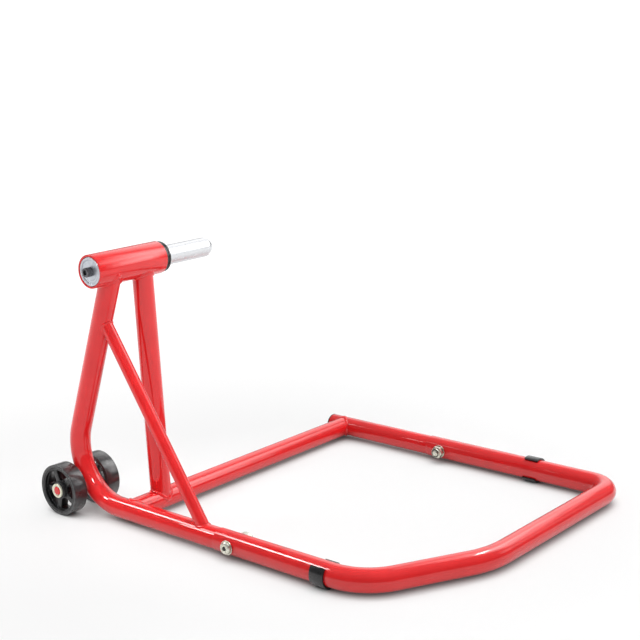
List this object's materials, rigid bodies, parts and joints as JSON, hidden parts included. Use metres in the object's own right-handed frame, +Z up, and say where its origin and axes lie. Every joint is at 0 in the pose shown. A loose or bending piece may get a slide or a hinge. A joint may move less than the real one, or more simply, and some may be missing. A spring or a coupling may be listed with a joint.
{
  "type": "motorcycle paddock stand",
  "caption": "Red tubular paddock stand for a single-sided swingarm: lifting pin on two legs, small wheels, U-shaped base with a bolted handle and clip feet.",
  "frame": {"origin": "on the floor, under the middle of the whole stand's box", "axes": "+X from the wheels to the handle's end bar, +Y from the near rail to the far rail and along the lifting pin, +Z up"},
  "size_m": [0.6614, 0.5526, 0.391],
  "materials": {
    "red_paint": "glossy red paint or powder coat",
    "zinc_plate": "bright zinc plate, slightly yellow",
    "steel": "turned and plated steel",
    "black_steel": "black oxide steel",
    "black_plastic": "moulded black plastic, slightly glossy",
    "black_rubber": "smooth black tread, slightly scuffed",
    "bush_plastic": "natural nylon"
  },
  "bodies": {
    "frame": {"near_side_tube": "red_paint", "second_leg": "red_paint", "cross_beam": "red_paint", "far_rail_tube": "red_paint", "diagonal_brace": "red_paint", "lift_tube": "red_paint", "axle_sleeve": "red_paint", "handle_tube": "red_paint", "wheel_axle": "red_paint", "far_rail_end_plug": "black_plastic", "near_foot_clip": "black_plastic", "far_foot_clip": "black_plastic", "near_bolt": "zinc_plate", "near_head_washer": "zinc_plate", "near_nut_washer": "zinc_plate", "near_nut": "zinc_plate", "far_bolt": "zinc_plate", "far_head_washer": "zinc_plate", "far_nut_washer": "zinc_plate", "far_nut": "zinc_plate", "near_bush": "bush_plastic", "far_bush": "bush_plastic", "near_wheel_washer": "zinc_plate", "far_wheel_washer": "zinc_plate", "near_wheel_push_nut": "zinc_plate", "far_wheel_push_nut": "zinc_plate"},
    "near_wheel": {"near_wheel_hub": "black_plastic", "near_wheel_tyre": "black_rubber"},
    "far_wheel": {"far_wheel_hub": "black_plastic", "far_wheel_tyre": "black_rubber"},
    "pin": {"lifting_pin": "steel", "pin_collar": "black_plastic", "pin_end_disc": "zinc_plate", "pin_end_bolt": "black_steel"}
  },
  "joints": [
    {"name": "near_wheel_spin", "type": "hinge", "parent": "frame", "child": "near_wheel", "pos_m": [-0.29325, -0.2618, 0.0375], "axis": [0, 1, 0], "continuous": true},
    {"name": "far_wheel_spin", "type": "hinge", "parent": "frame", "child": "far_wheel", "pos_m": [-0.29325, -0.1998, 0.0375], "axis": [0, 1, 0], "continuous": true},
    {"name": "lifting_pin_turn", "type": "hinge", "parent": "frame", "child": "pin", "pos_m": [-0.20625, -0.2308, 0.3675], "axis": [0, 1, 0], "continuous": true}
  ]
}
